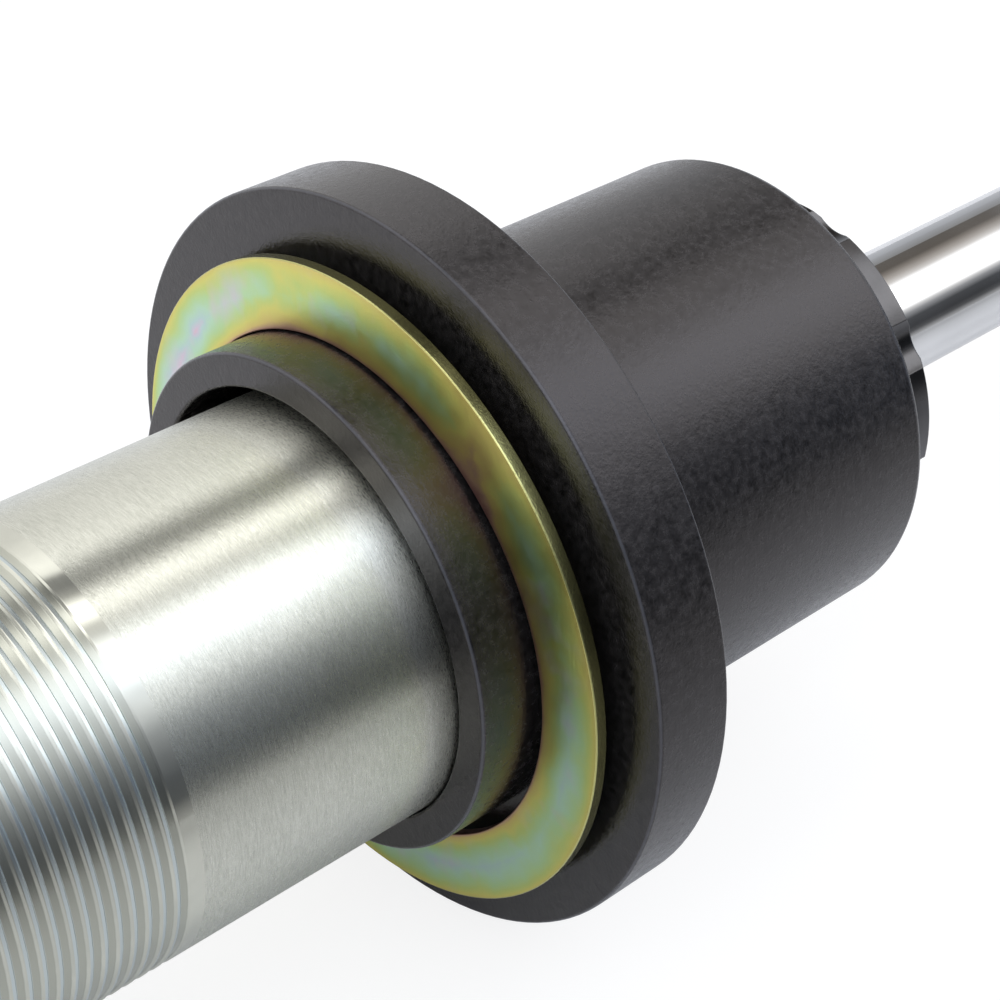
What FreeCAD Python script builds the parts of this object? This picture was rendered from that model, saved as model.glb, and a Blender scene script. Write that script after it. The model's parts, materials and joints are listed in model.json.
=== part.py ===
import FreeCAD, Part
import math
import os

from FreeCAD import Vector

# A mono-tube coilover shock absorber that lies along X, with its rod towards +X.
# The origin is the centre of the body eye. Both eye bores run along Y.
# The rod is drawn fully extended, and the springs are left off.

# Fits
seat_gap = 0.02  # between pieces that are screwed, pressed or clipped together
running_gap = 0.05  # radial, between a sliding or turning piece and its guide
face_gap = 0.1  # axial, between a stop or thrust face and what it meets
loose_gap = 0.15  # where a loose ring lies on what carries it
edge_round = 0.8  # broken outer edges of turned pieces

# Body tube
tube_od = 63.5
tube_wall = 3.175

# Damper stroke, and the gas room and oil film left over at full compression
stroke = 203.2
gas_room = 32.7
oil_margin = 5.0

# Piston rod
rod_od = 22.2
rod_post_r = 8.0
rod_post_stub = 2.0
rod_stud_r = 9.0
rod_stud_length = 26.0

# Eyes, milled from round bar
eye_r = 24.0
eye_width = 25.4
eye_root_round = 6.0
eye_to_collar = 32.0

# Spherical bearing of each eye
race_r = 15.08
race_width = 12.7
ball_r = 12.3
ball_width = 15.9
ball_bore_r = 7.94
clip_thickness = 1.2
clip_depth = 1.0
clip_land = 1.9
clip_mouth = 9.0
spacer_bore_r = 6.4
spacer_neck_r = 9.2
spacer_foot_r = 11.5
spacer_foot = 4.0
spacer_split = 0.5
mounting_width = 38.1

# End cap of the body
cap_collar = 8.0
cap_plug = 24.0
cap_pocket_r = 20.0
cap_pocket_depth = 10.0
ring_groove_width = 4.0
ring_groove_depth = 3.0
ring_groove_land = 6.0

# Gas valve
valve_stem_r = 3.6
valve_seat_depth = 5.0
valve_hex_af = 9.0
valve_hex = 3.0
valve_stem = 8.0
valve_cap_r = 4.4
valve_cap = 9.0
valve_cap_top = 1.5
gas_passage_r = 1.2

# Floating piston between gas and oil
floater_length = 24.0
floater_play = 0.3
floater_cup_r = 20.0
floater_cup_depth = 15.0
floater_band_width = 6.0
floater_band_depth = 1.5

# Seal head, bush and seals
head_length = 30.0
head_bore_play = 0.5
bush_wall = 2.5
bush_length = 18.0
rod_seal_wall = 5.5
rod_seal_length = 8.0

# Notched cap nut
cap_skirt = 14.0
cap_flange = 14.8
cap_flange_r = 30.15
cap_edge = 0.9
cap_flutes = 8
cap_flute_r = 6.5
cap_flute_depth = 1.6
cap_flute_stop = 1.5
cap_flute_turn = 13.6  # degrees from +Y towards +Z to the first flute
wiper_wall = 5.0
wiper_depth = 6.0
wiper_lip = 2.0
wiper_lip_wall = 1.6

# Piston and its valve stacks
top_out_length = 14.0
top_out_wall = 7.0
backing_r = 19.0
backing_thickness = 4.0
piston_length = 26.0
piston_play = 0.35
piston_band_width = 15.0
piston_band_depth = 2.0
port_count = 6
port_r = 2.6
port_circle_r = 18.5
shim_count = 5
shim_thickness = 0.4
shim_largest_r = 23.0
shim_step = 2.0
piston_nut_af = 24.0
piston_nut_height = 12.0

# Spring slider
slider_length = 90.0
slider_sleeve_r = 38.05
slider_play = 1.22
slider_reach = 86.5  # from the rod end of the tube back to the nose of the slider
slider_flange_at = 13.55
slider_flange = 12.6
slider_flange_r = 57.15
slider_root_round = 1.0
slider_end_round = 1.5
slider_lean = 37.0  # degrees from +Z towards +Y in which the slider hangs off centre

# Spring washers
washer_thickness = 1.9
washer_outer_r = 49.6
washer_play = 1.1
slider_washer_at = 8.85  # from the nose of the slider to the washer's spring face

# Preload collar
spring_room = 120.0  # from the nose of the slider back to the collar's spring face
collar_r = 54.7
collar_thickness = 19.0
collar_boss = 10.0
collar_edge = 1.5
collar_pitch = 60.0  # degrees from one spanner notch to the next
collar_notch_width = 10.0
collar_notch_depth = 5.0
collar_split = 2.5
pinch_r = 3.0
pinch_length = 24.0
pinch_head_r = 5.0
pinch_head = 6.0
pinch_socket_af = 5.0
pinch_socket_depth = 3.0
pinch_circle_r = 45.0
pinch_play = 0.3

# Rod spring seat and bump stop
seat_r = 54.0
seat_thickness = 8.0
seat_boss = 12.0
seat_boss_wall = 7.0
seat_slot_play = 0.6
seat_web_round = 2.0
pilot_r = 15.0
pilot_play = 0.15
pilot_short = 0.5
bump_length = 22.0
bump_r = 24.0
bump_tip_r = 18.0
bump_groove = 2.5
bump_play = 0.3
bump_room = 1.0  # between the bump stop and the wiper at full travel

# Rod eye
rod_eye_r = 25.4
rod_eye_collar = 9.0

# Radii that follow
tube_r = tube_od / 2
bore_r = tube_r - tube_wall
rod_r = rod_od / 2
seated_r = bore_r - seat_gap
ring_floor_r = seated_r - ring_groove_depth
ring_r = bore_r - running_gap
slider_bore_r = tube_r + slider_play
washer_bore_r = slider_sleeve_r + washer_play

# Places along X that follow
shim_stack = shim_count * shim_thickness
piston_stack = backing_thickness + 2 * shim_stack + piston_length + piston_nut_height + rod_post_stub
oil_length = oil_margin + stroke + piston_stack + top_out_length + face_gap
tube_length = cap_plug + gas_room + floater_length + oil_length + head_length + cap_skirt
tube_start = eye_to_collar + cap_collar
tube_end = tube_start + tube_length
plug_end = tube_start + cap_plug
head_start = tube_end - cap_skirt - head_length
head_end = tube_end - cap_skirt
cap_face = tube_end + cap_flange
rod_shoulder = head_start - face_gap - top_out_length
rebound_face = rod_shoulder - backing_thickness
piston_end = rebound_face - shim_stack
piston_start = piston_end - piston_length
nut_end = piston_start - shim_stack
nut_start = nut_end - piston_nut_height
rod_start = nut_start - rod_post_stub
floater_gain = stroke * (rod_r / bore_r) ** 2
floater_end = rod_start - stroke - oil_margin + floater_gain
floater_start = floater_end - floater_length
nose_x = tube_end - slider_reach
flange_start = nose_x + slider_flange_at
flange_end = flange_start + slider_flange
collar_face = nose_x - spring_room
bump_start = cap_face + wiper_lip + stroke - bump_length + bump_room
bump_end = bump_start + bump_length
seat_start = bump_end + seat_gap
seat_end = seat_start + seat_thickness
pilot_start = seat_start + pilot_short
rod_end = pilot_start - seat_gap
rod_eye_shoulder = seat_end + seat_gap
rod_eye_x = rod_eye_shoulder + rod_eye_collar + eye_to_collar

axis_x = Vector(1, 0, 0)
axis_z = Vector(0, 0, 1)
origin = Vector(0, 0, 0)


def outline(corners):
    """Closed wire in the XZ plane through (x, z) or (x, z, rounding) corners, with tangent arcs."""
    points = [Vector(corner[0], 0, corner[1]) for corner in corners]
    stretches = []
    for i, corner in enumerate(corners):
        rounding = corner[2] if len(corner) > 2 else 0
        here = points[i]
        if not rounding:
            stretches.append([here])
            continue
        back = (points[i - 1] - here).normalize()
        ahead = (points[(i + 1) % len(points)] - here).normalize()
        half_angle = back.getAngle(ahead) / 2
        inward = (back + ahead).normalize()
        reach = rounding / math.tan(half_angle)
        middle = here + inward * (rounding / math.sin(half_angle) - rounding)
        stretches.append([here + back * reach, middle, here + ahead * reach])
    edges = []
    for i, stretch in enumerate(stretches):
        if len(stretch) == 3:
            edges.append(Part.Arc(*stretch).toShape())
        follower = stretches[(i + 1) % len(stretches)][0]
        if stretch[-1].distanceToPoint(follower) > 1e-6:
            edges.append(Part.LineSegment(stretch[-1], follower).toShape())
    return Part.Wire(edges)


def turned(corners):
    """Solid turned about X from (x, radius) or (x, radius, rounding) corners."""
    return Part.Face(outline(corners)).revolve(origin, axis_x, 360)


def ring(start, end, inner, outer, rounding=0):
    """Plain ring about X with rounded outer edges."""
    return turned([(start, inner), (start, outer, rounding), (end, outer, rounding), (end, inner)])


def rod_bar(start, end, radius, y=0, z=0):
    """Round bar along X."""
    return Part.makeCylinder(radius, end - start, Vector(start, y, z), axis_x)


def plate(corners, half_width):
    """Plate with an outline in the XZ plane, spread evenly to both sides along Y."""
    face = Part.Face(outline(corners))
    face.translate(Vector(0, -half_width, 0))
    return face.extrude(Vector(0, 2 * half_width, 0))


def hex_bar(start, end, across_flats):
    """Hexagon bar along X, with its corners turned off at both ends."""
    corner_r = across_flats / math.sqrt(3)
    angles = [math.radians(60 * i) for i in range(7)]
    corners = [Vector(start, corner_r * math.cos(a), corner_r * math.sin(a)) for a in angles]
    bar = Part.Face(Part.makePolygon(corners)).extrude(Vector(end - start, 0, 0))
    chamfer = corner_r - across_flats / 2
    envelope = [
        (start, 0),
        (start, across_flats / 2),
        (start + chamfer / 2, corner_r),
        (end - chamfer / 2, corner_r),
        (end, across_flats / 2),
        (end, 0),
    ]
    return bar.common(turned(envelope))


def about_y(shape, x):
    """A piece made about X at the origin, turned to lie about Y at the given x."""
    moved = shape.rotate(origin, axis_z, 90)
    return moved.translate(Vector(x, 0, 0))


def both_sides(shape):
    """A piece and its mirror image across x = 0, as two separate solids."""
    return Part.makeCompound([shape, shape.mirror(origin, axis_x)])


def around_x(shape, angle):
    """Copy of a shape turned about X."""
    copy = shape.copy()
    copy.rotate(origin, axis_x, angle)
    return copy


def eye_blank(bar_r, collar):
    """Eye lug round the origin that grows out of a collar on its +X side, without its bore."""
    collar_end = eye_to_collar + collar
    step = abs(bar_r - eye_r)
    root = min(eye_root_round, 0.8 * step)
    profile = [
        (-eye_r, -eye_r, eye_r),
        (-eye_r, eye_r, eye_r),
        (eye_to_collar, eye_r, root),
        (eye_to_collar, bar_r),
        (collar_end, bar_r),
        (collar_end, -bar_r),
        (eye_to_collar, -bar_r),
        (eye_to_collar, -eye_r, root),
    ]
    blank = plate(profile, bar_r)
    bar = turned([(-eye_r, 0), (-eye_r, bar_r), (collar_end, bar_r, edge_round), (collar_end, 0)])
    blank = blank.common(bar)
    mill_profile = [
        (-2 * eye_r, eye_width / 2),
        (eye_to_collar, eye_width / 2, min(eye_root_round, 0.8 * (bar_r - eye_width / 2))),
        (eye_to_collar, 2 * bar_r),
        (-2 * eye_r, 2 * bar_r),
    ]
    mill = plate(mill_profile, 2 * bar_r)
    return blank.cut([around_x(mill, 90), around_x(mill, -90)])


def bearing_bore():
    """What is bored out of an eye: the race's bore and the two circlip grooves, about X."""
    bore_length = eye_width + eye_r
    bore = rod_bar(-bore_length / 2, bore_length / 2, race_r + seat_gap)
    grooves = [
        ring(side, side + clip_thickness + 2 * seat_gap, ball_r, race_r + clip_depth + 2 * seat_gap)
        for side in (race_width / 2, -race_width / 2 - clip_thickness - 2 * seat_gap)
    ]
    return bore.fuse(grooves)


def bowed_ring(width, straight_r, sphere_r):
    """Ring about X between a plain cylinder and a sphere centred on the origin."""
    half = width / 2
    rim_r = math.sqrt(sphere_r ** 2 - half ** 2)
    left, right = Vector(-half, 0, rim_r), Vector(half, 0, rim_r)
    bow = Part.Arc(left, Vector(0, 0, sphere_r), right).toShape()
    corners = [right, Vector(half, 0, straight_r), Vector(-half, 0, straight_r), left]
    face = Part.Face(Part.Wire([bow] + Part.makePolygon(corners).Edges))
    return face.revolve(origin, axis_x, 360)


def bearing_race(x):
    return about_y(bowed_ring(race_width, race_r, ball_r + running_gap), x)


def bearing_ball(x):
    return about_y(bowed_ring(ball_width, ball_bore_r, ball_r), x)


def bearing_circlips(x):
    start = race_width / 2 + seat_gap
    clip = ring(start, start + clip_thickness, race_r - clip_land, race_r + clip_depth + seat_gap)
    mouth = Part.makeBox(eye_width, clip_mouth, 2 * race_r, Vector(0, -clip_mouth / 2, 0))
    return about_y(both_sides(clip.cut(mouth)), x)


def eye_spacers(x):
    """The two spacers that centre the mounting bolt in the ball."""
    shank_start = spacer_split / 2
    shank_end = ball_width / 2 + running_gap
    shank_r = ball_bore_r - running_gap
    tip = mounting_width / 2
    profile = [
        (shank_start, spacer_bore_r),
        (shank_start, shank_r),
        (shank_end, shank_r),
        (shank_end, spacer_neck_r),
        (tip - spacer_foot, spacer_foot_r, edge_round),
        (tip, spacer_foot_r, edge_round),
        (tip, spacer_bore_r),
    ]
    return about_y(both_sides(turned(profile)), x)


valve_y = (eye_width / 2 + eye_root_round + tube_r - edge_round) / 2


def body_tube():
    return ring(tube_start, tube_end, bore_r, tube_r, edge_round)


def end_cap():
    """Body eye, collar and the screwed plug that closes the gas end of the tube."""
    groove = plug_end - ring_groove_land - ring_groove_width
    plug_profile = [
        (tube_start, 0),
        (tube_start, seated_r),
        (groove, seated_r),
        (groove, ring_floor_r),
        (groove + ring_groove_width, ring_floor_r),
        (groove + ring_groove_width, seated_r),
        (plug_end, seated_r, edge_round),
        (plug_end, cap_pocket_r),
        (plug_end - cap_pocket_depth, cap_pocket_r, edge_round),
        (plug_end - cap_pocket_depth, 0),
    ]
    body = eye_blank(tube_r, cap_collar).fuse(turned(plug_profile)).removeSplitter()
    valve_hole = rod_bar(eye_to_collar, eye_to_collar + valve_seat_depth, valve_stem_r + seat_gap, valve_y)
    passage_start = Vector(eye_to_collar + valve_seat_depth - gas_passage_r, valve_y, 0)
    passage_end = Vector(plug_end - cap_pocket_depth / 2, cap_pocket_r - gas_passage_r, 0)
    run = passage_end - passage_start
    passage = Part.makeCylinder(gas_passage_r, run.Length, passage_start, run)
    return body.cut([about_y(bearing_bore(), 0), valve_hole, passage])


def outer_ring_seal(start):
    """Square-cut ring that seals a groove against the tube bore."""
    return ring(start + seat_gap, start + ring_groove_width - seat_gap, ring_floor_r + seat_gap, seated_r)


def end_cap_seal():
    return outer_ring_seal(plug_end - ring_groove_land - ring_groove_width)


def gas_valve():
    """Valve stem screwed into the collar, with a hexagon above its seat."""
    hex_end = eye_to_collar - seat_gap
    hex_start = hex_end - valve_hex
    stem_end = eye_to_collar + valve_seat_depth - 2 * gas_passage_r
    stem = rod_bar(hex_start - valve_stem, stem_end, valve_stem_r, valve_y)
    hexagon = hex_bar(hex_start, hex_end, valve_hex_af)
    hexagon.translate(Vector(0, valve_y, 0))
    return stem.fuse(hexagon).removeSplitter()


def gas_valve_cap():
    """Screwed dust cap over the valve stem."""
    mouth = eye_to_collar - valve_hex - 2 * seat_gap
    top = mouth - valve_cap - valve_cap_top
    floor = mouth - valve_cap
    profile = [
        (mouth, valve_stem_r + seat_gap),
        (mouth, valve_cap_r),
        (top, valve_cap_r, valve_cap_top),
        (top, 0),
        (floor, 0),
        (floor, valve_stem_r + seat_gap),
    ]
    return turned(profile).translate(Vector(0, valve_y, 0))


floater_groove = floater_end - ring_groove_land - ring_groove_width
floater_band_start = floater_start + ring_groove_width
floater_r = bore_r - floater_play
floater_floor_r = floater_r - floater_band_depth
floater_ring_r = floater_r - ring_groove_depth


def floating_piston():
    """Cup that opens to the gas, with a seal groove and a guide band groove."""
    band_end = floater_band_start + floater_band_width
    groove_end = floater_groove + ring_groove_width
    profile = [
        (floater_start, floater_cup_r),
        (floater_start, floater_r, edge_round),
        (floater_band_start, floater_r),
        (floater_band_start, floater_floor_r),
        (band_end, floater_floor_r),
        (band_end, floater_r),
        (floater_groove, floater_r),
        (floater_groove, floater_ring_r),
        (groove_end, floater_ring_r),
        (groove_end, floater_r),
        (floater_end, floater_r, edge_round),
        (floater_end, 0),
        (floater_start + floater_cup_depth, 0),
        (floater_start + floater_cup_depth, floater_cup_r, 2 * edge_round),
    ]
    return turned(profile)


def floating_piston_seal():
    start = floater_groove + seat_gap
    return ring(start, start + ring_groove_width - 2 * seat_gap, floater_ring_r + seat_gap, ring_r)


def floating_piston_band():
    start = floater_band_start + seat_gap
    return ring(start, start + floater_band_width - 2 * seat_gap, floater_floor_r + seat_gap, ring_r)


head_groove = head_start + ring_groove_land
bush_r = rod_r + running_gap + bush_wall
rod_seal_r = rod_r + running_gap + rod_seal_wall


def seal_head():
    """Rod guide: bush pocket at the oil side, seal pocket under the cap nut."""
    groove_end = head_groove + ring_groove_width
    profile = [
        (head_start, bush_r + seat_gap),
        (head_start, seated_r, edge_round),
        (head_groove, seated_r),
        (head_groove, ring_floor_r),
        (groove_end, ring_floor_r),
        (groove_end, seated_r),
        (head_end, seated_r),
        (head_end, rod_seal_r + seat_gap),
        (head_end - rod_seal_length, rod_seal_r + seat_gap),
        (head_end - rod_seal_length, rod_r + head_bore_play),
        (head_start + bush_length, rod_r + head_bore_play),
        (head_start + bush_length, bush_r + seat_gap),
    ]
    return turned(profile)


def seal_head_o_ring():
    return outer_ring_seal(head_groove)


def rod_bush():
    return ring(head_start + seat_gap, head_start + bush_length - seat_gap, rod_r + running_gap, bush_r)


def rod_seal():
    """Lip seal: a cupped ring whose pocket opens to the oil."""
    start = head_end - rod_seal_length + seat_gap
    end = head_end - seat_gap
    lip = rod_seal_wall / 3
    cup = rod_seal_length / 2
    profile = [
        (start, rod_r + running_gap),
        (start, rod_r + running_gap + lip),
        (start + cup, rod_r + running_gap + lip),
        (start + cup, rod_seal_r - lip),
        (start, rod_seal_r - lip),
        (start, rod_seal_r),
        (end, rod_seal_r),
        (end, rod_r + running_gap),
    ]
    return turned(profile)


wiper_r = rod_r + running_gap + wiper_wall


def notched_cap_nut():
    """Screwed cap with round spanner notches in its rim and a wiper pocket in its face."""
    rim_start = tube_end + seat_gap
    profile = [
        (head_end + seat_gap, rod_r + head_bore_play),
        (head_end + seat_gap, seated_r),
        (rim_start, seated_r),
        (rim_start, cap_flange_r),
        (cap_face - cap_edge, cap_flange_r),
        (cap_face, cap_flange_r - cap_edge),
        (cap_face, wiper_r + seat_gap),
        (cap_face - wiper_depth, wiper_r + seat_gap),
        (cap_face - wiper_depth, rod_r + head_bore_play),
    ]
    flute_start = rim_start + cap_flute_stop
    flute_y = cap_flange_r - cap_flute_depth + cap_flute_r
    flute = rod_bar(flute_start, flute_start + cap_flange, cap_flute_r, flute_y)
    pitch = 360 / cap_flutes
    turns = [cap_flute_turn + i * pitch for i in range(cap_flutes)]
    return turned(profile).cut([around_x(flute, turn) for turn in turns])


def rod_wiper():
    """Wiper with a lip that stands proud of the cap nut."""
    start = cap_face - wiper_depth + seat_gap
    inner = rod_r + running_gap
    profile = [
        (start, inner),
        (start, wiper_r),
        (cap_face, wiper_r),
        (cap_face, inner + 2 * wiper_lip_wall),
        (cap_face + wiper_lip, inner + wiper_lip_wall),
        (cap_face + wiper_lip, inner),
    ]
    return turned(profile)


def piston_rod():
    """Chromed rod with a post for the piston and a stud for the rod eye."""
    profile = [
        (rod_start, 0),
        (rod_start, rod_post_r, edge_round),
        (rod_shoulder, rod_post_r),
        (rod_shoulder, rod_r, edge_round),
        (rod_end, rod_r),
        (rod_end, rod_stud_r),
        (rod_end + rod_stud_length, rod_stud_r, edge_round),
        (rod_end + rod_stud_length, 0),
    ]
    return turned(profile)


post_bore_r = rod_post_r + seat_gap
piston_r = bore_r - piston_play
piston_floor_r = piston_r - piston_band_depth
piston_band_start = (piston_start + piston_end - piston_band_width) / 2


def piston():
    """Piston with a band groove, and two sets of flow ports at alternate angles."""
    band_end = piston_band_start + piston_band_width
    profile = [
        (piston_start, post_bore_r),
        (piston_start, piston_r, edge_round),
        (piston_band_start, piston_r),
        (piston_band_start, piston_floor_r),
        (band_end, piston_floor_r),
        (band_end, piston_r),
        (piston_end, piston_r, edge_round),
        (piston_end, post_bore_r),
    ]
    port = rod_bar(piston_start - port_r, piston_end + port_r, port_r, 0, port_circle_r)
    pitch = 180 / port_count
    return turned(profile).cut([around_x(port, i * pitch) for i in range(2 * port_count)])


def piston_band():
    start = piston_band_start + seat_gap
    return ring(start, start + piston_band_width - 2 * seat_gap, piston_floor_r + seat_gap, ring_r)


def shims(face, direction):
    """Stack of thin discs that get smaller away from the piston face."""
    stack = []
    for i in range(shim_count):
        near = face + direction * i * shim_thickness
        far = near + direction * shim_thickness
        stack.append(ring(min(near, far), max(near, far), post_bore_r, shim_largest_r - i * shim_step))
    return Part.makeCompound(stack)


def compression_shims():
    return shims(piston_start, -1)


def rebound_shims():
    return shims(piston_end, 1)


def backing_plate():
    return ring(rebound_face, rod_shoulder, post_bore_r, backing_r, edge_round)


def piston_nut():
    return hex_bar(nut_start, nut_end, piston_nut_af).cut(rod_bar(nut_start, nut_end, post_bore_r))


def top_out_spacer():
    inner = rod_r + seat_gap
    return ring(rod_shoulder, rod_shoulder + top_out_length, inner, inner + top_out_wall, edge_round)


def off_centre(shape, distance):
    """A loose ring moved across the axis to the side on which it hangs."""
    lean = math.radians(slider_lean)
    return shape.translate(Vector(0, distance * math.sin(lean), distance * math.cos(lean)))


slider_shift = slider_play - loose_gap
washer_shift = slider_shift - (washer_play - loose_gap)


def spring_slider():
    """Flanged sleeve between the two springs. It lies on the tube, so it hangs off centre."""
    end = nose_x + slider_length
    profile = [
        (nose_x, slider_bore_r, edge_round),
        (nose_x, slider_sleeve_r, edge_round),
        (flange_start, slider_sleeve_r),
        (flange_start, slider_flange_r, edge_round),
        (flange_end, slider_flange_r, edge_round),
        (flange_end, slider_sleeve_r, slider_root_round),
        (end, slider_sleeve_r, slider_end_round),
        (end, slider_bore_r, edge_round),
    ]
    return off_centre(turned(profile), slider_shift)


def spring_washer(face):
    return ring(face, face + washer_thickness, washer_bore_r, washer_outer_r)


def slider_washer():
    """Loose washer that hangs on the slider's nose."""
    return off_centre(spring_washer(nose_x + slider_washer_at), washer_shift)


def preload_seat_washer():
    """Washer between the preload collar and the spring, centred on the collar's boss."""
    return spring_washer(collar_face + face_gap)


def pinch_screw_blank(play):
    """Pinch screw along X with its head towards +X, or the hole for it when play is given."""
    head_start = collar_split + pinch_r
    shank = rod_bar(head_start - pinch_length - play, head_start, pinch_r + play)
    head_length = pinch_head if not play else 2 * collar_r
    return shank.fuse(rod_bar(head_start - play, head_start + head_length, pinch_head_r + play))


def across_split(shape):
    """Stands a screw made along X across the collar's split, half way through its rim."""
    middle = collar_face - collar_thickness / 2
    placed = about_y(shape, middle)
    return placed.translate(Vector(0, 0, pinch_circle_r))


def preload_nut():
    """Split screwed collar with spanner notches and a boss that centres the spring."""
    back = collar_face - collar_thickness
    boss_end = collar_face + collar_boss
    bore = tube_r + running_gap
    profile = [
        (back, bore, edge_round),
        (back, collar_r, collar_edge),
        (collar_face, collar_r, collar_edge),
        (collar_face, slider_sleeve_r),
        (boss_end, slider_sleeve_r, edge_round),
        (boss_end, bore, edge_round),
    ]
    notch_start = back - collar_edge
    notch = Part.makeBox(
        collar_thickness + 2 * collar_edge,
        collar_notch_width,
        2 * collar_notch_depth,
        Vector(notch_start, -collar_notch_width / 2, collar_r - collar_notch_depth),
    )
    notch_count = round(360 / collar_pitch)
    split = Part.makeBox(
        collar_thickness + 2 * collar_boss,
        collar_split,
        2 * collar_r,
        Vector(notch_start, -collar_split / 2, 0),
    )
    notches = [around_x(notch, i * collar_pitch) for i in range(1, notch_count)]
    return turned(profile).cut(notches + [split, across_split(pinch_screw_blank(pinch_play))])


def preload_pinch_screw():
    """Socket head screw that closes the collar on its thread."""
    top = collar_split + pinch_r + pinch_head
    socket = hex_bar(top - pinch_socket_depth, top + pinch_socket_depth, pinch_socket_af)
    return across_split(pinch_screw_blank(0).removeSplitter().cut(socket))


def rod_spring_seat():
    """Slotted plate on the rod eye, with a boss that centres the main spring."""
    boss_r = slider_sleeve_r
    cup_r = boss_r - seat_boss_wall
    boss_start = seat_start - seat_boss
    profile = [
        (seat_start, pilot_r + pilot_play),
        (seat_start, cup_r, seat_web_round),
        (boss_start, cup_r, edge_round),
        (boss_start, boss_r, edge_round),
        (seat_start, boss_r, slider_root_round),
        (seat_start, seat_r, edge_round),
        (seat_end, seat_r, edge_round),
        (seat_end, pilot_r + pilot_play),
    ]
    slot_width = rod_od + 2 * seat_slot_play
    slot = Part.makeBox(
        seat_boss + 2 * seat_thickness,
        slot_width,
        2 * seat_r,
        Vector(boss_start - edge_round, -slot_width / 2, 0),
    )
    return turned(profile).cut(slot)


def bump_stop():
    """Tapered urethane stop with one groove that lets it fold."""
    inner = rod_r + bump_play
    middle = (bump_start + bump_end) / 2
    waist_r = (bump_tip_r + bump_r) / 2 - bump_groove
    profile = [
        (bump_start, inner),
        (bump_start, bump_tip_r, bump_groove),
        (middle - bump_groove, (bump_tip_r + bump_r) / 2),
        (middle, waist_r, bump_groove / 2),
        (middle + bump_groove, (bump_tip_r + bump_r) / 2),
        (bump_end, bump_r, edge_round),
        (bump_end, inner),
    ]
    return turned(profile)


def rod_eye():
    """Rod end eye with a pilot that centres the spring seat, bored for the rod's stud."""
    blank = eye_blank(rod_eye_r, rod_eye_collar).mirror(origin, axis_x)
    blank = blank.cut(about_y(bearing_bore(), 0))
    blank.translate(Vector(rod_eye_x, 0, 0))
    pilot = rod_bar(pilot_start, rod_eye_shoulder, pilot_r)
    stud_hole = rod_bar(pilot_start, rod_end + rod_stud_length + seat_gap, rod_stud_r + seat_gap)
    return blank.fuse(pilot).removeSplitter().cut(stud_hole)


nodes = {
    "body_tube": body_tube(),
    "end_cap": end_cap(),
    "end_cap_seal": end_cap_seal(),
    "gas_valve": gas_valve(),
    "gas_valve_cap": gas_valve_cap(),
    "body_bearing_race": bearing_race(0),
    "body_bearing_circlips": bearing_circlips(0),
    "body_bearing_ball": bearing_ball(0),
    "body_eye_spacers": eye_spacers(0),
    "floating_piston": floating_piston(),
    "floating_piston_seal": floating_piston_seal(),
    "floating_piston_band": floating_piston_band(),
    "seal_head": seal_head(),
    "seal_head_o_ring": seal_head_o_ring(),
    "rod_bush": rod_bush(),
    "rod_seal": rod_seal(),
    "rod_wiper": rod_wiper(),
    "notched_cap_nut": notched_cap_nut(),
    "piston_rod": piston_rod(),
    "piston": piston(),
    "piston_band": piston_band(),
    "compression_shims": compression_shims(),
    "rebound_shims": rebound_shims(),
    "backing_plate": backing_plate(),
    "piston_nut": piston_nut(),
    "top_out_spacer": top_out_spacer(),
    "spring_slider": spring_slider(),
    "slider_washer": slider_washer(),
    "preload_nut": preload_nut(),
    "preload_pinch_screw": preload_pinch_screw(),
    "preload_seat_washer": preload_seat_washer(),
    "rod_spring_seat": rod_spring_seat(),
    "bump_stop": bump_stop(),
    "rod_eye": rod_eye(),
    "rod_bearing_race": bearing_race(rod_eye_x),
    "rod_bearing_circlips": bearing_circlips(rod_eye_x),
    "rod_bearing_ball": bearing_ball(rod_eye_x),
    "rod_eye_spacers": eye_spacers(rod_eye_x),
}

os.makedirs("parts", exist_ok=True)
for name, shape in nodes.items():
    shape.exportStep(f"parts/{name}.step")
    print(name, shape.isValid(), len(shape.Solids), round(shape.Volume, 1))
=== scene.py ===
import json
import math

import bmesh
import bpy
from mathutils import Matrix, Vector


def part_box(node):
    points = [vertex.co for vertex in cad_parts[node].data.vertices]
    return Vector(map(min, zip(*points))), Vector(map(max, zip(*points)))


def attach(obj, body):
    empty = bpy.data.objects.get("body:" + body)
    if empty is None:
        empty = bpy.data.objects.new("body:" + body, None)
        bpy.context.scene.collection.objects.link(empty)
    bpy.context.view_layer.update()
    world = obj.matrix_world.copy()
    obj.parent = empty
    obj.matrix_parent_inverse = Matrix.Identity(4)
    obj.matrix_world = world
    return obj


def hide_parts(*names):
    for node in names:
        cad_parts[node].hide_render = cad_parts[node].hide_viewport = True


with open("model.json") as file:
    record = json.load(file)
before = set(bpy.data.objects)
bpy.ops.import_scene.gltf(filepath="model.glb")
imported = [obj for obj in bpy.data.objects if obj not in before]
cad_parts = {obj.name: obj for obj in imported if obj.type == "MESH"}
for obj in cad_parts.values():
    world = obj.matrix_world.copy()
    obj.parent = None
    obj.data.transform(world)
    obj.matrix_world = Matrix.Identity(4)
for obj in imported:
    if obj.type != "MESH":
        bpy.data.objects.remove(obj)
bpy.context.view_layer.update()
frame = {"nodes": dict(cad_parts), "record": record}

# A coilover shock absorber on a white studio floor, seen close to its spring slider.
# Lengths are in metres. Angles round X are counted from +Z towards the camera's side, which is -Y.
MM = 0.001

# Camera, placed from the middle of the slider's nose
CAMERA_FROM_NOSE = Vector((-150.29, -206.324, 193.061)) * MM
CAMERA_TURN = 42.217  # degrees from +Y towards +X
CAMERA_DIP = 34.371  # degrees below the horizon
CAMERA_LENS = 81.445
CAMERA_SENSOR = 36
CAMERA_NEAREST = 10 * MM

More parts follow.
